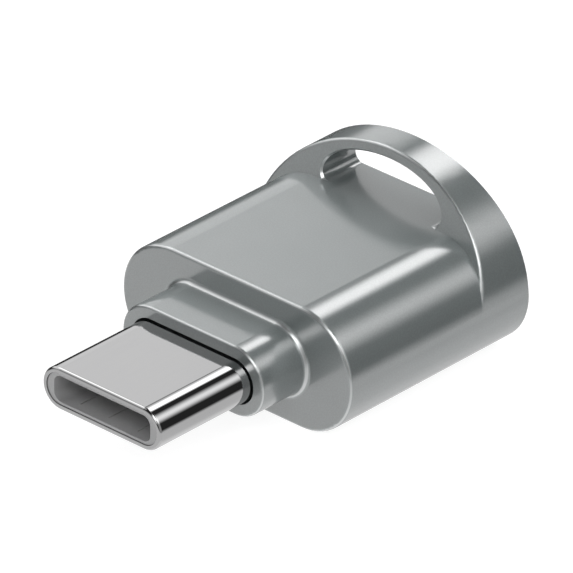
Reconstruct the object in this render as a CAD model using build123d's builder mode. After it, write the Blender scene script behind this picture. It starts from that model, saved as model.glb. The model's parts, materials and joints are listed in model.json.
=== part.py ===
import os
from math import radians, tan

from build123d import *

os.makedirs("parts", exist_ok=True)

# All sizes are in millimetres. X runs across, Y runs from the plug to the rear, Z is up.
# The reader lies on its flat underside. The origin is on that face, below the middle of its length.

# Memory card and the socket that takes it
card_width = 11.0
card_thickness = 1.0
card_play = 0.1
card_side_gap = 0.15
card_contact_count = 8
card_contact_pitch = 1.1
card_contact_width = 0.4
card_contact_thickness = 0.12
card_contact_lift = 0.25
card_contact_reach = 2.4
card_contact_bend = 0.15
detect_offset = 0.7
detect_lift = 0.7
socket_floor = 0.35
socket_floor_lip = 1.0
socket_stop_wall = 0.4
socket_side_wall = 0.2
socket_tail = 0.5
socket_end_gap = 0.2
socket_slot_gap = 0.08
sheet = 0.15
foot_reach = 0.3
foot_length = 1.0
tongue_width = 0.9
tongue_length = 2.6
tongue_cut = 0.25
tongue_spacing = 5.0

# Circuit board and what is soldered to its underside
board_thickness = 0.8
board_edge_gap = 0.2
board_end_gap = 0.1
board_play = 0.05
rail_thickness = 0.6
rail_gap = 0.08
chip_width = 3.9
chip_length = 4.9
chip_height = 1.4
chip_standoff = 0.1
chip_chamfer = 0.12
chip_dot_radius = 0.25
chip_dot_depth = 0.06
lead_count = 8
lead_pitch = 0.6
lead_width = 0.25
lead_thickness = 0.15
lead_reach = 1.05
lead_foot = 0.45
lead_shoulder = 0.25
passive_length = 1.0
passive_width = 0.5
capacitor_height = 0.5
resistor_height = 0.35
terminal_length = 0.25
terminal_proud = 0.03
passive_spacing = 2.4
passive_gap = 0.6

# Plug
plug_width = 8.25
plug_height = 2.4
plug_reach = 6.65
plug_wall = 0.28
plug_tip_radius = 0.15
plug_gap = 0.11
stop_rim = 0.35
stop_thickness = 0.4
inner_fit = 0.02
liner_side = 0.47
liner_wall = 0.15
mouth_corner = 0.5
liner_recess = 0.06
groove_count = 3
groove_pitch = 2.0
groove_width = 0.07
groove_depth = 0.05
groove_start = 0.5
mouth_depth = 6.2
contact_count = 12
contact_pitch = 0.5
contact_width = 0.25
contact_thickness = 0.12
contact_tip_depth = 3.7
contact_bump = 0.07
contact_tail = 1.0
contact_bend = 0.2
latch_thickness = 0.2
latch_tip_depth = 2.2
latch_side_gap = 0.05
latch_arm_width = 0.3
latch_hook = 0.2
latch_hook_lead = 0.35
spring_width = 5.2
spring_thickness = 0.12
spring_depth = 2.0
spring_base = 0.6
spring_finger_count = 4
spring_finger_pitch = 1.3
spring_finger_width = 0.6
spring_finger_length = 0.7
spring_finger_drop = 0.3

# Die-cast housing: body, collar round the plug, and lanyard loop with its eye
wall = 0.9
front_wall = 0.8
headroom = 0.6
body_side = 2.5
body_length = 13.5
body_edge_radius = 0.2
collar_margin = 0.8
collar_length = 3.2
collar_edge_radius = 0.15
collar_root_radius = 0.3
loop_height = 2.95
loop_depth = 3.88
loop_rake = 17.0
loop_inset = 0.01
loop_edge_radius = 0.15
eye_width = 8.2
eye_bar = 0.58
eye_corner_radius = 0.53
eye_chamfer = 0.1
rear_chamfer = 0.08

# Insert that closes the rear, with the card slot
bezel_thickness = 1.2
bezel_recess = 0.15
bezel_fit = 0.04
slot_chamfer = 0.25

# Heights above and below the plug axis
board_half = board_thickness / 2
card_floor = board_half + socket_floor
card_space = card_thickness + card_play
socket_ceiling = card_floor + card_space
socket_top = socket_ceiling + sheet
body_half = socket_top + headroom + wall
loop_rise = body_half + loop_height
axis_z = body_half
chip_middle = board_half + chip_standoff + chip_height / 2

# Widths
body_width = card_width + 2 * body_side
body_height = 2 * body_half
cavity_width = body_width - 2 * wall
cavity_height = body_height - 2 * wall
board_width = cavity_width - 2 * board_edge_gap
guide_width = card_width + 2 * card_side_gap
base_width = guide_width + 2 * socket_side_wall
cover_width = base_width + 2 * (inner_fit + sheet)
rail_inner_x = cover_width / 2 + foot_reach + rail_gap
liner_width = plug_width - 2 * (plug_wall + inner_fit)
liner_height = plug_height - 2 * (plug_wall + inner_fit)
mouth_width = liner_width - 2 * liner_side
mouth_height = liner_height - 2 * liner_wall

# Places along the length
overall_length = plug_reach + collar_length + body_length
rear_y = overall_length / 2
tip_y = -rear_y
collar_front_y = tip_y + plug_reach
body_front_y = collar_front_y + collar_length
cavity_front_y = body_front_y + front_wall
plug_tail_y = cavity_front_y + stop_thickness
liner_front_y = tip_y + liner_recess
mouth_floor_y = liner_front_y + mouth_depth
bezel_front_y = rear_y - bezel_recess - bezel_thickness
board_front_y = plug_tail_y + board_end_gap
board_rear_y = bezel_front_y - board_end_gap
board_length = board_rear_y - board_front_y
board_middle_y = (board_front_y + board_rear_y) / 2
contact_tail_y = board_front_y + contact_tail
socket_front_y = contact_tail_y + socket_end_gap + socket_tail
socket_rear_y = board_rear_y - socket_end_gap
socket_length = socket_rear_y - socket_front_y
socket_floor_y = socket_front_y + socket_stop_wall
loop_foot_y = rear_y - loop_depth
loop_lean = tan(radians(loop_rake))

# Side view through the middle: first coordinate is Y, second is the height above the plug axis
side_view = Plane(origin=(0, 0, axis_z), x_dir=(0, 1, 0), z_dir=(1, 0, 0))
axis_plane = Plane.XY.offset(axis_z)
board_top = Plane.XY.offset(axis_z + board_half)
board_underside = Plane.XY.offset(axis_z - board_half)
loop_face = Plane(origin=(0, loop_foot_y, axis_z), x_dir=(1, 0, 0), z_dir=(0, -1, loop_lean))


def cross_section(y):
    # Plane across the plug axis, seen from the plug's end, so negative extrusions run rearwards
    return Plane(origin=(0, y, axis_z), x_dir=(1, 0, 0), z_dir=(0, -1, 0))


def centred(count, pitch):
    # Positions of a row of equal steps about zero
    return [(i - (count - 1) / 2) * pitch for i in range(count)]


def lies_on_loop_face(edge):
    return all(abs(loop_face.to_local_coords(edge @ t).Z) < 1e-4 for t in (0, 0.5, 1))


# Side view of everything behind the loop's leaning front face
profile_reach = loop_rise + wall
with BuildSketch(side_view) as behind_loop_face:
    with BuildLine():
        Polyline(
            (loop_foot_y - loop_lean * profile_reach, -profile_reach),
            (rear_y, -profile_reach),
            (rear_y, profile_reach),
            (loop_foot_y + loop_lean * profile_reach, profile_reach),
            close=True,
        )
    make_face()

# Rear view of the eye, level with the top of the body
eye_spring = body_half + eye_corner_radius
eye_arch_rise = loop_rise - eye_bar - eye_spring
with BuildSketch(cross_section(rear_y)) as eye:
    with BuildLine():
        EllipticalCenterArc((0, eye_spring), eye_width / 2, eye_arch_rise, 0, arc_size=180)
        left_corner = JernArc((-eye_width / 2, eye_spring), (0, -1), eye_corner_radius, 90)
        right_corner = JernArc((eye_width / 2, eye_spring), (0, -1), eye_corner_radius, -90)
        Line(left_corner @ 1, right_corner @ 1)
    make_face()

# Housing: hollow casting, with the loop's front face leaning back and running out on the body's sides
with BuildPart() as loop:
    with BuildSketch(cross_section(rear_y)):
        Ellipse(body_width / 2 - loop_inset, loop_rise)
    extrude(amount=body_length)
    extrude(behind_loop_face.sketch, amount=body_width, both=True, mode=Mode.INTERSECT)
    fillet(loop.edges().filter_by(lies_on_loop_face), loop_edge_radius)
    split(bisect_by=axis_plane, keep=Keep.TOP)
    extrude(eye.sketch, amount=body_length, mode=Mode.SUBTRACT)
    chamfer(loop.edges(Select.LAST).filter_by(lies_on_loop_face), eye_chamfer)

with BuildPart() as housing:
    with BuildSketch(cross_section(body_front_y)):
        SlotOverall(body_width, body_height)
    extrude(amount=-body_length)
    fillet(housing.faces().sort_by(Axis.Y)[0].edges(), body_edge_radius)
    add(loop.part)
    with BuildSketch(cross_section(collar_front_y)):
        SlotOverall(plug_width + 2 * collar_margin, plug_height + 2 * collar_margin)
    extrude(amount=-(collar_length + front_wall / 2))
    fillet(housing.edges(Select.NEW), collar_root_radius)
    fillet(housing.faces().sort_by(Axis.Y)[0].edges(), collar_edge_radius)
    chamfer(housing.faces().sort_by(Axis.Y)[-1].edges(), rear_chamfer)
    # Bore for the plug, cavity with rails for the board, and seat of the bezel
    with BuildSketch(cross_section(collar_front_y)):
        SlotOverall(plug_width + 2 * plug_gap, plug_height + 2 * plug_gap)
    extrude(amount=-(collar_length + front_wall), mode=Mode.SUBTRACT)
    with BuildSketch(cross_section(cavity_front_y)):
        SlotOverall(cavity_width, cavity_height)
        rail_width = cavity_width / 2 - rail_inner_x
        rail_z = board_half + board_play + rail_thickness / 2
        with GridLocations(2 * rail_inner_x + rail_width, 2 * rail_z, 2, 2):
            Rectangle(rail_width, rail_thickness, mode=Mode.SUBTRACT)
    extrude(amount=-(bezel_front_y - cavity_front_y), mode=Mode.SUBTRACT)
    with BuildSketch(cross_section(bezel_front_y)):
        SlotOverall(cavity_width, cavity_height)
    extrude(amount=-(rear_y - bezel_front_y), mode=Mode.SUBTRACT)
housing.part.label = "housing"
export_step(housing.part, "parts/housing.step")

# Rear insert, a little behind the housing's rear face
with BuildPart() as rear_bezel:
    with BuildSketch(cross_section(bezel_front_y)):
        SlotOverall(cavity_width - 2 * bezel_fit, cavity_height - 2 * bezel_fit)
        with Locations((0, card_floor + card_space / 2)):
            Rectangle(guide_width, card_space, mode=Mode.SUBTRACT)
    extrude(amount=-bezel_thickness)
    chamfer(rear_bezel.faces().sort_by(Axis.Y)[-1].inner_wires()[0].edges(), slot_chamfer)
rear_bezel.part.label = "rear_bezel"
export_step(rear_bezel.part, "parts/rear_bezel.step")

# Drawn plug shell, with the ring that stops it behind the front wall
with BuildPart() as plug_shell:
    with BuildSketch(cross_section(tip_y)):
        SlotOverall(plug_width, plug_height)
    extrude(amount=-(plug_tail_y - tip_y))
    fillet(plug_shell.faces().sort_by(Axis.Y)[0].edges(), plug_tip_radius)
    with BuildSketch(cross_section(cavity_front_y)):
        SlotOverall(plug_width + 2 * stop_rim, plug_height + 2 * stop_rim)
    extrude(amount=-stop_thickness)
    with BuildSketch(cross_section(tip_y)):
        SlotOverall(plug_width - 2 * plug_wall, plug_height - 2 * plug_wall)
    extrude(amount=-(plug_tail_y - tip_y), mode=Mode.SUBTRACT)
plug_shell.part.label = "plug_shell"
export_step(plug_shell.part, "parts/plug_shell.step")

# Liner of the plug's mouth, with grooves and a window above and below for the ground springs
spring_front_y = tip_y + spring_depth
with BuildPart() as plug_insulator:
    with BuildSketch(cross_section(liner_front_y)):
        SlotOverall(liner_width, liner_height)
        RectangleRounded(mouth_width, mouth_height, mouth_corner, mode=Mode.SUBTRACT)
    extrude(amount=-mouth_depth)
    with BuildSketch(axis_plane):
        with Locations((0, spring_front_y - inner_fit)):
            window_length = spring_base + spring_finger_length + 2 * inner_fit
            Rectangle(spring_width + 2 * inner_fit, window_length, align=(Align.CENTER, Align.MIN))
    extrude(amount=plug_height, both=True, mode=Mode.SUBTRACT)
    with BuildSketch(axis_plane):
        with Locations((0, liner_front_y + groove_start)):
            with GridLocations(groove_pitch, 0, groove_count, 1):
                groove_length = spring_depth - liner_recess - groove_start
                Rectangle(groove_width, groove_length, align=(Align.CENTER, Align.MIN))
    extrude(amount=mouth_height / 2 + groove_depth, both=True, mode=Mode.SUBTRACT)
plug_insulator.part.label = "plug_insulator"
export_step(plug_insulator.part, "parts/plug_insulator.step")

# Block behind the mouth that holds a row of contacts
strip_z = board_half + contact_thickness / 2
with BuildPart() as plug_wafer_upper:
    with BuildSketch(cross_section(mouth_floor_y)):
        SlotOverall(liner_width, liner_height)
        with Locations((0, latch_thickness / 2)):
            Rectangle(liner_width, liner_height, align=(Align.CENTER, Align.MIN), mode=Mode.INTERSECT)
        with Locations((0, strip_z)):
            with GridLocations(contact_pitch, 0, contact_count, 1):
                Rectangle(contact_width, contact_thickness, mode=Mode.SUBTRACT)
    extrude(amount=-(plug_tail_y - mouth_floor_y))
plug_wafer_upper.part.label = "plug_wafer_upper"
export_step(plug_wafer_upper.part, "parts/plug_wafer_upper.step")

with BuildPart() as plug_wafer_lower:
    mirror(plug_wafer_upper.part, about=axis_plane)
plug_wafer_lower.part.label = "plug_wafer_lower"
export_step(plug_wafer_lower.part, "parts/plug_wafer_lower.step")

# Row of contacts: soldered tail on the board, strip through the block, sprung arm in the mouth
contact_tip_y = tip_y + contact_tip_depth
arm_root_y = mouth_floor_y - contact_bend
arm_bump_y = contact_tip_y + (arm_root_y - contact_tip_y) / 4
with BuildPart() as plug_contacts_upper:
    with BuildSketch(*[side_view.offset(x) for x in centred(contact_count, contact_pitch)]):
        with BuildLine():
            FilletPolyline(
                (contact_tail_y, strip_z),
                (arm_root_y, strip_z),
                (arm_bump_y, strip_z - contact_bump),
                (contact_tip_y, strip_z + contact_bump),
                radius=[0, contact_bend],
            )
        trace(line_width=contact_thickness)
    extrude(amount=contact_width / 2, both=True)
plug_contacts_upper.part.label = "plug_contacts_upper"
export_step(plug_contacts_upper.part, "parts/plug_contacts_upper.step")

with BuildPart() as plug_contacts_lower:
    mirror(plug_contacts_upper.part, about=axis_plane)
plug_contacts_lower.part.label = "plug_contacts_lower"
export_step(plug_contacts_lower.part, "parts/plug_contacts_lower.step")

# Plate between the two blocks, with a hooked latch along each side of the mouth
latch_outer_x = mouth_width / 2 - latch_side_gap
latch_inner_x = latch_outer_x - latch_arm_width
latch_tip_y = tip_y + latch_tip_depth
with BuildPart() as plug_latch_plate:
    with BuildSketch(axis_plane):
        with BuildLine():
            Polyline(
                (latch_outer_x, mouth_floor_y),
                (latch_outer_x, latch_tip_y),
                (latch_inner_x, latch_tip_y),
                (latch_inner_x - latch_hook, latch_tip_y + latch_hook_lead),
                (latch_inner_x, latch_tip_y + 2 * latch_hook_lead),
                (latch_inner_x, mouth_floor_y),
                close=True,
            )
        make_face()
        mirror(about=Plane.YZ)
        with Locations((0, mouth_floor_y)):
            plate_length = plug_tail_y - mouth_floor_y
            Rectangle(2 * latch_outer_x, plate_length, align=(Align.CENTER, Align.MIN))
    extrude(amount=latch_thickness / 2, both=True)
plug_latch_plate.part.label = "plug_latch_plate"
export_step(plug_latch_plate.part, "parts/plug_latch_plate.step")

# Ground spring: a plate in the liner's window, with fingers bent into the mouth
spring_z = liner_height / 2 - spring_thickness / 2
spring_heel_y = spring_front_y + spring_base
with BuildPart() as plug_ground_spring_upper:
    with BuildSketch(side_view):
        with Locations((spring_front_y, spring_z)):
            Rectangle(spring_base, spring_thickness, align=(Align.MIN, Align.CENTER))
    extrude(amount=spring_width / 2, both=True)
    finger_places = centred(spring_finger_count, spring_finger_pitch)
    with BuildSketch(*[side_view.offset(x) for x in finger_places]):
        with BuildLine():
            Polyline(
                (spring_front_y, spring_z),
                (spring_heel_y, spring_z),
                (spring_heel_y + spring_finger_length, spring_z - spring_finger_drop),
            )
        trace(line_width=spring_thickness)
    extrude(amount=spring_finger_width / 2, both=True)
plug_ground_spring_upper.part.label = "plug_ground_spring_upper"
export_step(plug_ground_spring_upper.part, "parts/plug_ground_spring_upper.step")

with BuildPart() as plug_ground_spring_lower:
    mirror(plug_ground_spring_upper.part, about=axis_plane)
plug_ground_spring_lower.part.label = "plug_ground_spring_lower"
export_step(plug_ground_spring_lower.part, "parts/plug_ground_spring_lower.step")

# Circuit board, held by its edges between the housing's rails
with BuildPart() as circuit_board:
    with BuildSketch(axis_plane):
        with Locations((0, board_middle_y)):
            Rectangle(board_width, board_length)
    extrude(amount=board_half, both=True)
circuit_board.part.label = "circuit_board"
export_step(circuit_board.part, "parts/circuit_board.step")

# Controller under the board: moulded body with a dot at its first lead
with BuildPart() as controller_chip:
    with BuildSketch(board_underside.offset(-chip_standoff)):
        with Locations((0, board_middle_y)):
            Rectangle(chip_width, chip_length)
    extrude(amount=-chip_height)
    chip_face = controller_chip.faces().sort_by(Axis.Z)[0]
    chamfer(chip_face.edges(), chip_chamfer)
    with BuildSketch(Plane(chip_face)):
        with Locations((chip_width / 4, chip_length / 4)):
            Circle(chip_dot_radius)
    extrude(amount=-chip_dot_depth, mode=Mode.SUBTRACT)
controller_chip.part.label = "controller_chip"
export_step(controller_chip.part, "parts/controller_chip.step")

# Controller leads, bent from the middle of the body to the board
lead_root_x = chip_width / 2
lead_toe_x = lead_root_x + lead_reach
with BuildPart() as controller_leads:
    lead_rows = [cross_section(board_middle_y + y) for y in centred(lead_count, lead_pitch)]
    with BuildSketch(*lead_rows):
        with BuildLine():
            Polyline(
                (lead_root_x, -chip_middle),
                (lead_root_x + lead_shoulder, -chip_middle),
                (lead_toe_x - lead_foot, -(board_half + lead_thickness / 2)),
                (lead_toe_x, -(board_half + lead_thickness / 2)),
            )
        trace(line_width=lead_thickness)
        mirror(about=Plane.YZ)
    extrude(amount=lead_width / 2, both=True)
controller_leads.part.label = "controller_leads"
export_step(controller_leads.part, "parts/controller_leads.step")


def chip_parts(places, height):
    # Small parts under the board, each with a raised metal cap at both ends
    hang = (Align.CENTER, Align.CENTER, Align.MAX)
    with BuildPart() as group:
        with Locations(*places):
            Box(passive_length, passive_width - 2 * terminal_proud, height - terminal_proud, align=hang)
            with GridLocations(passive_length - terminal_length, 0, 2, 1):
                Box(terminal_length, passive_width, height, align=hang)
    return group


# Capacitors beside and behind the controller, resistors in front of it
underside_z = axis_z - board_half
beside_x = lead_toe_x + passive_gap + passive_length / 2
row_offset = chip_length / 2 + passive_gap + passive_width / 2
pair = centred(2, passive_spacing)
capacitor_places = [(x, board_middle_y + y, underside_z) for x in (-beside_x, beside_x) for y in pair]
capacitor_places += [(x, board_middle_y + row_offset, underside_z) for x in pair]
capacitors = chip_parts(capacitor_places, capacitor_height)
capacitors.part.label = "capacitors"
export_step(capacitors.part, "parts/capacitors.step")

resistor_row = centred(3, passive_spacing)
resistor_places = [(x, board_middle_y - row_offset, underside_z) for x in resistor_row]
resistors = chip_parts(resistor_places, resistor_height)
resistors.part.label = "resistors"
export_step(resistors.part, "parts/resistors.step")

# Card socket base: floor with slots for the springs, stop wall in front, low wall along each side
detect_x = guide_width / 2 - detect_offset
spring_row = centred(card_contact_count, card_contact_pitch)
slot_places = spring_row + [detect_x]
slot_width = card_contact_width + 2 * socket_slot_gap
slot_length = card_contact_reach + socket_end_gap
socket_floor_length = socket_stop_wall + slot_length + socket_floor_lip
from_front = (Align.CENTER, Align.MIN)
with BuildPart() as card_socket_base:
    with BuildSketch(board_top):
        with Locations((0, socket_front_y)):
            Rectangle(base_width, socket_length, align=from_front)
        with Locations((0, socket_floor_y)):
            Rectangle(guide_width, socket_length, align=from_front, mode=Mode.SUBTRACT)
    extrude(amount=socket_floor + card_space)
    with BuildSketch(board_top):
        with Locations((0, socket_front_y)):
            Rectangle(base_width, socket_floor_length, align=from_front)
    extrude(amount=socket_floor)
    with BuildSketch(board_top):
        with Locations(*[(x, socket_floor_y) for x in slot_places]):
            Rectangle(slot_width, slot_length, align=from_front)
    extrude(amount=socket_floor, mode=Mode.SUBTRACT)
    with BuildSketch(board_top):
        with Locations(*[(x, socket_front_y) for x in slot_places]):
            Rectangle(slot_width, socket_stop_wall, align=from_front)
    extrude(amount=card_contact_thickness + socket_slot_gap, mode=Mode.SUBTRACT)
card_socket_base.part.label = "card_socket_base"
export_step(card_socket_base.part, "parts/card_socket_base.step")

# Card springs: tail on the board, strip under the stop wall, crest above the floor
card_strip_z = board_half + card_contact_thickness / 2
card_tail_y = socket_front_y - socket_tail
crest_z = card_floor + card_contact_lift - card_contact_thickness / 2
with BuildPart() as card_socket_contacts:
    with BuildSketch(*[side_view.offset(x) for x in spring_row]):
        with BuildLine():
            FilletPolyline(
                (card_tail_y, card_strip_z),
                (socket_floor_y + card_contact_bend, card_strip_z),
                (socket_floor_y + 0.75 * card_contact_reach, crest_z),
                (socket_floor_y + card_contact_reach, crest_z - card_contact_lift),
                radius=[0, card_contact_bend],
            )
        trace(line_width=card_contact_thickness)
    extrude(amount=card_contact_width / 2, both=True)
card_socket_contacts.part.label = "card_socket_contacts"
export_step(card_socket_contacts.part, "parts/card_socket_contacts.step")

# Spring that the end of a card pushes over when it is fully in
detect_heel_y = socket_floor_y + 3 * card_contact_bend
with BuildPart() as card_detect_contact:
    with BuildSketch(side_view.offset(detect_x)):
        with BuildLine():
            Polyline(
                (card_tail_y, card_strip_z),
                (detect_heel_y, card_strip_z),
                (detect_heel_y + card_contact_bend, card_floor + detect_lift),
            )
        trace(line_width=card_contact_thickness)
    extrude(amount=card_contact_width / 2, both=True)
card_detect_contact.part.label = "card_detect_contact"
export_step(card_detect_contact.part, "parts/card_detect_contact.step")

# Bent sheet cover of the card socket, with soldered feet and two tongues that press on the card
with BuildPart() as card_socket_cover:
    with BuildSketch(cross_section(socket_front_y)):
        with Locations((0, board_half)):
            Rectangle(cover_width, socket_top - board_half, align=from_front)
            Rectangle(
                cover_width - 2 * sheet, socket_ceiling - board_half, align=from_front, mode=Mode.SUBTRACT
            )
    extrude(amount=-socket_length)
    with BuildSketch(board_top):
        with Locations((0, socket_front_y + socket_length / 2)):
            with GridLocations(cover_width + foot_reach - sheet / 2, socket_length - 2 * foot_length, 2, 2):
                Rectangle(foot_reach + sheet / 2, foot_length)
    extrude(amount=sheet)
    with BuildSketch(axis_plane.offset(socket_ceiling)):
        with Locations(*[(x, socket_rear_y - 2 * tongue_length) for x in centred(2, tongue_spacing)]):
            Rectangle(tongue_width + 2 * tongue_cut, tongue_length + tongue_cut, align=from_front)
            Rectangle(tongue_width, tongue_length, align=from_front, mode=Mode.SUBTRACT)
    extrude(amount=sheet, mode=Mode.SUBTRACT)
card_socket_cover.part.label = "card_socket_cover"
export_step(card_socket_cover.part, "parts/card_socket_cover.step")
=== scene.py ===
import json
from math import radians, sin, cos

import bpy
import bmesh
from mathutils import Matrix, Vector


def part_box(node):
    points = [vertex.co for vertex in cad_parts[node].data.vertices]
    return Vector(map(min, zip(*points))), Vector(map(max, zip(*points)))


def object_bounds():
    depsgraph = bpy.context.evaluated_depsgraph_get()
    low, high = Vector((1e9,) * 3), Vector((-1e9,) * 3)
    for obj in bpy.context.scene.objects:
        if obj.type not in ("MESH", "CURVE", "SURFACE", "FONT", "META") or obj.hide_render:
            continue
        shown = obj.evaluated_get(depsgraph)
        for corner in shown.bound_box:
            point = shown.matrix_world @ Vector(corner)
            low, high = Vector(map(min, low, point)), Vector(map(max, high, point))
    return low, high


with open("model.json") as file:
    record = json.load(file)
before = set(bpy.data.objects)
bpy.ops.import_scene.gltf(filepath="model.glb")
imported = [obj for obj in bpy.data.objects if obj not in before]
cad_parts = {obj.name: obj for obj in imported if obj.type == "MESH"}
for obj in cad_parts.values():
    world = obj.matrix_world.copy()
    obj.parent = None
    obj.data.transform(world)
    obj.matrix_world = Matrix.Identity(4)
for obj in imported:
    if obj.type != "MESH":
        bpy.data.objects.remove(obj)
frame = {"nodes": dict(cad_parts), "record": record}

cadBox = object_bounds()
mm = 0.001
nodes = frame["nodes"]


def setInputs(node, values):
    for name, value in values.items():
        node.inputs[name].default_value = value


def newGroup(name, inputs, outputs):
    group = bpy.data.node_groups.new(name, "ShaderNodeTree")
    for socketName, socketType, default in inputs:
        socket = group.interface.new_socket(socketName, in_out="INPUT", socket_type=socketType)
        socket.default_value = default
    for socketName, socketType in outputs:
        group.interface.new_socket(socketName, in_out="OUTPUT", socket_type=socketType)
    return group, group.nodes.new("NodeGroupInput"), group.nodes.new("NodeGroupOutput")


def mathNode(tree, operation, *values):
    node = tree.nodes.new("ShaderNodeMath")
    node.operation = operation
    for socket, value in zip(node.inputs, values):
        if isinstance(value, bpy.types.NodeSocket):
            tree.links.new(value, socket)
        else:
            socket.default_value = value
    return node.outputs[0]


def rampNode(tree, value, low, high, toLow=0.0, toHigh=1.0):
    node = tree.nodes.new("ShaderNodeMapRange")
    node.interpolation_type = "SMOOTHSTEP"
    for name, source in (("Value", value), ("From Min", low), ("From Max", high),
                         ("To Min", toLow), ("To Max", toHigh)):
        if isinstance(source, bpy.types.NodeSocket):
            tree.links.new(source, node.inputs[name])
        else:
            node.inputs[name].default_value = source
    return node.outputs["Result"]


# Part of a noise texture's range that a ramp spreads from 0 to 1
noiseSpread = (0.3, 0.7)
grainSpread = (0.42, 0.56)


# Fine tooth of a satin finish or a moulded skin, the same in every direction
def makeSurfaceGrain():
    group, given, out = newGroup(
        "surfaceGrain",
        [("Grain Scale", "NodeSocketFloat", 4000.0), ("Cloud Scale", "NodeSocketFloat", 180.0),
         ("Rough Low", "NodeSocketFloat", 0.25), ("Rough High", "NodeSocketFloat", 0.35)],
        [("Cloud", "NodeSocketFloat"), ("Roughness", "NodeSocketFloat"), ("Height", "NodeSocketFloat")],
    )
    links = group.links
    place = group.nodes.new("ShaderNodeTexCoord")
    grain = group.nodes.new("ShaderNodeTexNoise")
    setInputs(grain, {"Detail": 3.0, "Roughness": 0.6})
    cloud = group.nodes.new("ShaderNodeTexNoise")
    setInputs(cloud, {"Detail": 2.0, "Roughness": 0.5})
    for texture, scale in ((grain, "Grain Scale"), (cloud, "Cloud Scale")):
        links.new(place.outputs["Object"], texture.inputs["Vector"])
        links.new(given.outputs[scale], texture.inputs["Scale"])
    rough = rampNode(group, grain.outputs["Fac"], *grainSpread,
                     given.outputs["Rough Low"], given.outputs["Rough High"])
    links.new(rampNode(group, cloud.outputs["Fac"], *noiseSpread), out.inputs["Cloud"])
    links.new(rough, out.inputs["Roughness"])
    links.new(grain.outputs["Fac"], out.inputs["Height"])
    return group


# Faint lines that drawing or rolling leaves along the length of sheet metal
def makeDrawnLines():
    group, given, out = newGroup(
        "drawnLines",
        [("Line Scale", "NodeSocketFloat", 6000.0), ("Stretch", "NodeSocketFloat", 0.02),
         ("Rough Low", "NodeSocketFloat", 0.05), ("Rough High", "NodeSocketFloat", 0.1)],
        [("Lines", "NodeSocketFloat"), ("Roughness", "NodeSocketFloat"), ("Height", "NodeSocketFloat")],
    )
    links = group.links
    place = group.nodes.new("ShaderNodeTexCoord")
    squeeze = group.nodes.new("ShaderNodeVectorMath")
    squeeze.operation = "MULTIPLY"
    along = group.nodes.new("ShaderNodeCombineXYZ")
    setInputs(along, {"X": 1.0, "Z": 1.0})
    links.new(given.outputs["Stretch"], along.inputs["Y"])
    links.new(place.outputs["Object"], squeeze.inputs[0])
    links.new(along.outputs["Vector"], squeeze.inputs[1])
    lines = group.nodes.new("ShaderNodeTexNoise")
    setInputs(lines, {"Detail": 4.0, "Roughness": 0.65})
    links.new(squeeze.outputs["Vector"], lines.inputs["Vector"])
    links.new(given.outputs["Line Scale"], lines.inputs["Scale"])
    rough = rampNode(group, lines.outputs["Fac"], *noiseSpread,
                     given.outputs["Rough Low"], given.outputs["Rough High"])
    links.new(rampNode(group, lines.outputs["Fac"], *noiseSpread), out.inputs["Lines"])
    links.new(rough, out.inputs["Roughness"])
    links.new(lines.outputs["Fac"], out.inputs["Height"])
    return group


# Mask for a painted highlight on edges, found by normals that lean between along the length and across it
def makePaintedEdgeHighlight():
    group, given, out = newGroup(
        "paintedEdgeHighlight", [("Lean Low", "NodeSocketFloat", 0.7), ("Lean High", "NodeSocketFloat", 0.98)],
        [("Edge", "NodeSocketFloat")])
    place = group.nodes.new("ShaderNodeTexCoord")
    axes = group.nodes.new("ShaderNodeSeparateXYZ")
    group.links.new(place.outputs["Normal"], axes.inputs["Vector"])
    along = axes.outputs["Y"]
    square = mathNode(group, "MULTIPLY", along, along)
    across = mathNode(group, "SQRT", mathNode(group, "SUBTRACT", 1.0, square))
    product = mathNode(group, "MULTIPLY", mathNode(group, "ABSOLUTE", along), across)
    lean = mathNode(group, "MULTIPLY", product, 2.0)  # 1 on a slope of 45 degrees
    edge = rampNode(group, lean, given.outputs["Lean Low"], given.outputs["Lean High"])
    group.links.new(edge, out.inputs["Edge"])
    return group


surfaceGrain = makeSurfaceGrain()
drawnLines = makeDrawnLines()
paintedEdgeHighlight = makePaintedEdgeHighlight()


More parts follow.
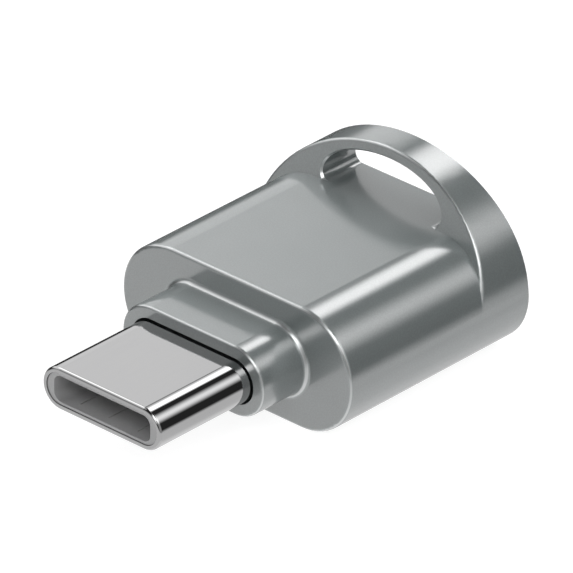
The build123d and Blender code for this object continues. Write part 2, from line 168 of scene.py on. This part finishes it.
# A finish is two close tones, mixed by the group's first output, with its roughness and a shallow bump
def makeFinish(name, look):
    material = bpy.data.materials.new(name)
    material.use_nodes = True
    tree = material.node_tree
    shader = tree.nodes["Principled BSDF"]
    pattern = tree.nodes.new("ShaderNodeGroup")
    pattern.node_tree = look["group"]
    setInputs(pattern, look["pattern"])
    tones = tree.nodes.new("ShaderNodeMix")
    tones.data_type = "RGBA"
    tones.inputs["A"].default_value = (*look["toneA"], 1)
    tones.inputs["B"].default_value = (*look["toneB"], 1)
    bump = tree.nodes.new("ShaderNodeBump")
    setInputs(bump, {"Strength": look["bump"], "Distance": look["bumpDepth"]})
    tree.links.new(pattern.outputs[0], tones.inputs["Factor"])
    tree.links.new(pattern.outputs["Height"], bump.inputs["Height"])
    tree.links.new(bump.outputs["Normal"], shader.inputs["Normal"])
    colour, roughness = tones.outputs["Result"], pattern.outputs["Roughness"]
    # Painted highlight: the edge mask mixes in a lighter tone on edges; the lower roughness there is real
    if "edge" in look:
        edgeHighlightTone, edgeRoughness = look["edge"]
        highlightMask = tree.nodes.new("ShaderNodeGroup")
        highlightMask.node_tree = paintedEdgeHighlight
        highlightTone, smooth = (tree.nodes.new("ShaderNodeMix") for _ in range(2))
        highlightTone.data_type = "RGBA"
        highlightTone.inputs["B"].default_value = (*edgeHighlightTone, 1)
        smooth.inputs["B"].default_value = edgeRoughness
        for mix, plain in ((highlightTone, colour), (smooth, roughness)):
            tree.links.new(highlightMask.outputs["Edge"], mix.inputs["Factor"])
            tree.links.new(plain, mix.inputs["A"])
        colour, roughness = highlightTone.outputs["Result"], smooth.outputs["Result"]
    tree.links.new(colour, shader.inputs["Base Color"])
    tree.links.new(roughness, shader.inputs["Roughness"])
    shader.inputs["Metallic"].default_value = look.get("metallic", 0.0)
    if "coat" in look:
        coatWeight, coatRoughness, coatIor = look["coat"]
        setInputs(shader, {"Coat Weight": coatWeight, "Coat Roughness": coatRoughness, "Coat IOR": coatIor})
    return material


satinCasting = {
    # edge: a lighter tone painted on the edges as a highlight, and a smoother roughness there
    "group": surfaceGrain, "metallic": 1.0, "coat": (1.0, 0.16, 2.6), "edge": ((0.42, 0.44, 0.44), 0.36),
    "toneA": (0.276, 0.305, 0.305), "toneB": (0.288, 0.317, 0.317),
    "pattern": {"Grain Scale": 12000.0, "Cloud Scale": 260.0, "Rough Low": 0.7, "Rough High": 0.76},
    "bump": 0.01, "bumpDepth": 0.002 * mm,
}
polishedPlug = {
    "group": drawnLines, "metallic": 1.0,
    "toneA": (0.42, 0.42, 0.422), "toneB": (0.428, 0.428, 0.43),
    "pattern": {"Line Scale": 9000.0, "Stretch": 0.02, "Rough Low": 0.05, "Rough High": 0.065},
    "bump": 0.01, "bumpDepth": 0.001 * mm,
}
plugLiner = {
    "group": surfaceGrain,
    "toneA": (0.3, 0.3, 0.303), "toneB": (0.33, 0.33, 0.334),
    "pattern": {"Grain Scale": 7000.0, "Cloud Scale": 400.0, "Rough Low": 0.42, "Rough High": 0.56},
    "bump": 0.15, "bumpDepth": 0.01 * mm,
}
blackMoulding = {
    "group": surfaceGrain,
    "toneA": (0.016, 0.016, 0.018), "toneB": (0.026, 0.026, 0.028),
    "pattern": {"Grain Scale": 6000.0, "Cloud Scale": 300.0, "Rough Low": 0.45, "Rough High": 0.62},
    "bump": 0.2, "bumpDepth": 0.01 * mm,
}
rearMoulding = {
    "group": surfaceGrain,
    "toneA": (0.028, 0.028, 0.03), "toneB": (0.04, 0.04, 0.043),
    "pattern": {"Grain Scale": 5200.0, "Cloud Scale": 240.0, "Rough Low": 0.4, "Rough High": 0.58},
    "bump": 0.25, "bumpDepth": 0.015 * mm,
}
goldPlating = {
    "group": drawnLines, "metallic": 1.0,
    "toneA": (0.62, 0.42, 0.15), "toneB": (0.72, 0.5, 0.19),
    "pattern": {"Line Scale": 7000.0, "Stretch": 0.03, "Rough Low": 0.18, "Rough High": 0.3},
    "bump": 0.05, "bumpDepth": 0.002 * mm,
}
springSheet = {
    "group": drawnLines, "metallic": 1.0,
    "toneA": (0.4, 0.4, 0.4), "toneB": (0.47, 0.47, 0.47),
    "pattern": {"Line Scale": 6000.0, "Stretch": 0.02, "Rough Low": 0.22, "Rough High": 0.36},
    "bump": 0.06, "bumpDepth": 0.003 * mm,
}
dullTin = {
    "group": surfaceGrain, "metallic": 1.0,
    "toneA": (0.5, 0.5, 0.49), "toneB": (0.58, 0.58, 0.57),
    "pattern": {"Grain Scale": 8000.0, "Cloud Scale": 900.0, "Rough Low": 0.3, "Rough High": 0.45},
    "bump": 0.1, "bumpDepth": 0.004 * mm,
}
greenLacquer = {
    "group": surfaceGrain, "coat": (0.5, 0.15, 1.5),
    "toneA": (0.008, 0.05, 0.022), "toneB": (0.014, 0.075, 0.034),
    "pattern": {"Grain Scale": 3000.0, "Cloud Scale": 700.0, "Rough Low": 0.35, "Rough High": 0.5},
    "bump": 0.1, "bumpDepth": 0.01 * mm,
}
capacitorBody = {
    "group": surfaceGrain,
    "toneA": (0.2, 0.13, 0.07), "toneB": (0.27, 0.18, 0.1),
    "pattern": {"Grain Scale": 9000.0, "Cloud Scale": 1500.0, "Rough Low": 0.4, "Rough High": 0.55},
    "bump": 0.1, "bumpDepth": 0.005 * mm,
}
resistorBody = {
    "group": surfaceGrain,
    "toneA": (0.012, 0.012, 0.014), "toneB": (0.022, 0.022, 0.025),
    "pattern": {"Grain Scale": 9000.0, "Cloud Scale": 1500.0, "Rough Low": 0.3, "Rough High": 0.45},
    "bump": 0.1, "bumpDepth": 0.005 * mm,
}

finishes = {
    "cast_metal": makeFinish("satinCasting", satinCasting),
    "plug_chrome": makeFinish("polishedPlug", polishedPlug),
    "plug_plastic": makeFinish("plugLiner", plugLiner),
    "black_plastic": makeFinish("blackMoulding", blackMoulding),
    "bezel_plastic": makeFinish("rearMoulding", rearMoulding),
    "contact_gold": makeFinish("goldPlating", goldPlating),
    "spring_steel": makeFinish("springSheet", springSheet),
    "tinned_metal": makeFinish("dullTin", dullTin),
    "board_laminate": makeFinish("greenLacquer", greenLacquer),
    "capacitor_ceramic": makeFinish("capacitorBody", capacitorBody),
    "resistor_ceramic": makeFinish("resistorBody", resistorBody),
}
for part in frame["record"]["subparts"]:
    mesh = nodes[part["node"]].data
    mesh.materials.clear()
    mesh.materials.append(finishes[part["material_slot"]])
print("finishes set on", len(nodes), "pieces")


def linkMesh(name, build):
    work = bmesh.new()
    build(work)
    mesh = bpy.data.meshes.new(name)
    work.to_mesh(mesh)
    work.free()
    made = bpy.data.objects.new(name, mesh)
    bpy.context.scene.collection.objects.link(made)
    return made


# Plain white table with a faint shadow; the metal mirrors the tent's lower half in its place
table = {"radius": 1.6, "segments": 96, "tone": (0.3, 0.3, 0.3), "glow": 0.86}


def makeTable():
    def build(work):
        bmesh.ops.create_circle(work, cap_ends=True, segments=table["segments"], radius=table["radius"])
    floor = linkMesh("tableTop", build)
    floor.data.transform(Matrix.Translation((0, 0, cadBox[0].z)))
    material = bpy.data.materials.new("tableTop")
    material.use_nodes = True
    setInputs(material.node_tree.nodes["Principled BSDF"], {
        "Base Color": (*table["tone"], 1), "Roughness": 1.0, "Specular IOR Level": 0.0,
        "Emission Color": (1, 1, 1, 1), "Emission Strength": table["glow"]})
    floor.data.materials.append(material)
    floor.visible_glossy = False


makeTable()
print("table top laid at", cadBox[0].z)

# Light tent of soft panels, each by the middle and reach of its azimuth from the rear and its elevations
tent = {
    "radius": 0.7,
    "segments": (64, 32),
    "base": 0.035,
    "panels": [
        {"name": "key", "azimuth": (-23, 12), "elevation": (36.5, 76), "soft": (8, 2), "strength": 3.4},
        {"name": "wash", "azimuth": (-94, 43), "elevation": (14, 60), "soft": (12, 7), "strength": 1.4},
        {"name": "back", "azimuth": (-54, 13.5), "elevation": (6, 36), "soft": (4, 5.5), "strength": 1.2},
        {"name": "fill", "azimuth": (86, 53), "elevation": (28.5, 57), "soft": (18, 13), "strength": 2.4},
        {"name": "side", "azimuth": (105, 38), "elevation": (-14, 28), "soft": (14, 8), "strength": 0.48},
        {"name": "front", "azimuth": (150, 12), "elevation": (31, 60), "soft": (8, 6), "strength": 5.5},
        {"name": "low", "azimuth": (172, 12), "elevation": (5, 28), "soft": (4, 4), "strength": 2.6},
        {"name": "strip", "azimuth": (-82, 23), "elevation": (40, 54), "soft": (7, 5), "strength": 3.6},
        {"name": "roof", "azimuth": (0, 200), "elevation": (80, 120), "soft": (5, 5), "strength": 0.5},
        {"name": "apron", "azimuth": (-150, 26), "elevation": (-16, 10), "soft": (12, 5), "strength": 0.58},
        {"name": "ground", "azimuth": (168, 135), "elevation": (-120, -12.8),
         "soft": (8, 7.2), "strength": 0.92},
        {"name": "groundRear", "azimuth": (-14, 62), "elevation": (-120, -30),
         "soft": (10, 7), "strength": 0.92},
        {"name": "groundNear", "azimuth": (0, 200), "elevation": (-140, -40),
         "soft": (5, 16), "strength": 1.12},
    ],
}


def makeSoftPanel():
    names = ["Azimuth", "Elevation", "Middle", "Reach", "Low", "High",
             "Side Soft", "Height Soft", "Strength"]
    group, given, out = newGroup(
        "softPanel", [(name, "NodeSocketFloat", 0.0) for name in names], [("Light", "NodeSocketFloat")])
    get = given.outputs
    offset = mathNode(group, "SUBTRACT", get["Azimuth"], get["Middle"])
    aside = mathNode(group, "WRAP", offset, 180.0, -180.0)
    edges = [(mathNode(group, "ABSOLUTE", aside), "Reach", "Side Soft", 1.0, 0.0),
             (get["Elevation"], "Low", "Height Soft", 0.0, 1.0),
             (get["Elevation"], "High", "Height Soft", 1.0, 0.0)]
    light = get["Strength"]
    for angle, edge, soft, inside, outside in edges:
        mask = rampNode(group, angle, mathNode(group, "SUBTRACT", get[edge], get[soft]),
                        mathNode(group, "ADD", get[edge], get[soft]), inside, outside)
        light = mathNode(group, "MULTIPLY", light, mask)
    group.links.new(light, out.inputs["Light"])
    return group


def makeTent():
    def build(work):
        around, upward = tent["segments"]
        bmesh.ops.create_uvsphere(work, u_segments=around, v_segments=upward, radius=tent["radius"])
        bmesh.ops.reverse_faces(work, faces=work.faces)
    dome = linkMesh("lightTent", build)
    material = bpy.data.materials.new("lightTent")
    material.use_nodes = True
    tree = material.node_tree
    tree.nodes.clear()
    place = tree.nodes.new("ShaderNodeTexCoord")
    axes = tree.nodes.new("ShaderNodeSeparateXYZ")
    unit = tree.nodes.new("ShaderNodeVectorMath")
    unit.operation = "NORMALIZE"
    tree.links.new(place.outputs["Object"], unit.inputs[0])
    tree.links.new(unit.outputs["Vector"], axes.inputs["Vector"])
    turn = mathNode(tree, "DEGREES", mathNode(tree, "ARCTAN2", axes.outputs["X"], axes.outputs["Y"]))
    lift = mathNode(tree, "DEGREES", mathNode(tree, "ARCSINE", axes.outputs["Z"]))
    softPanel = makeSoftPanel()
    total = tent["base"]
    for panel in tent["panels"]:
        node = tree.nodes.new("ShaderNodeGroup")
        node.node_tree = softPanel
        node.name = node.label = panel["name"]
        setInputs(node, {"Middle": panel["azimuth"][0], "Reach": panel["azimuth"][1],
                         "Low": panel["elevation"][0], "High": panel["elevation"][1],
                         "Side Soft": panel["soft"][0], "Height Soft": panel["soft"][1],
                         "Strength": panel["strength"]})
        tree.links.new(turn, node.inputs["Azimuth"])
        tree.links.new(lift, node.inputs["Elevation"])
        total = mathNode(tree, "MAXIMUM", node.outputs["Light"], total)
    glow = tree.nodes.new("ShaderNodeEmission")
    tree.links.new(total, glow.inputs["Strength"])
    end = tree.nodes.new("ShaderNodeOutputMaterial")
    tree.links.new(glow.outputs["Emission"], end.inputs["Surface"])
    dome.data.materials.append(material)
    dome.visible_camera = False


makeTent()
world = bpy.data.worlds.new("studio")
bpy.context.scene.world = world
world.use_nodes = True
setInputs(world.node_tree.nodes["Background"], {"Color": (1, 1, 1, 1), "Strength": 1.0})
bpy.context.scene.view_settings.view_transform = "Standard"
print("light tent with", len(tent["panels"]), "panels")

# Camera fitted to the outlines; sizes in millimetres, the picture taken as a square of 573 pixels
shot = {"azimuth": 43.023, "elevation": 29.173, "distance": 499.07, "focalPixels": 9811.04, "picture": 573,
        "sensor": 36, "aim": (0.951, 12.622, 2.255)}


def makeCamera():
    plugLow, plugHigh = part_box("plug_shell")
    plugTip = Vector((0, plugLow.y, (plugLow.z + plugHigh.z) / 2))
    aim = plugTip + Vector(shot["aim"]) * mm
    a, e = radians(shot["azimuth"]), radians(shot["elevation"])
    back = Vector((sin(a) * cos(e), -cos(a) * cos(e), sin(e)))
    camera = bpy.data.objects.new("camera", bpy.data.cameras.new("camera"))
    camera.data.sensor_width = shot["sensor"]
    camera.data.lens = shot["focalPixels"] / shot["picture"] * shot["sensor"]
    camera.location = aim + back * shot["distance"] * mm
    camera.rotation_mode = "QUATERNION"
    camera.rotation_quaternion = (-back).to_track_quat("-Z", "Y")
    bpy.context.scene.collection.objects.link(camera)
    bpy.context.scene.camera = camera


makeCamera()
print("camera set")
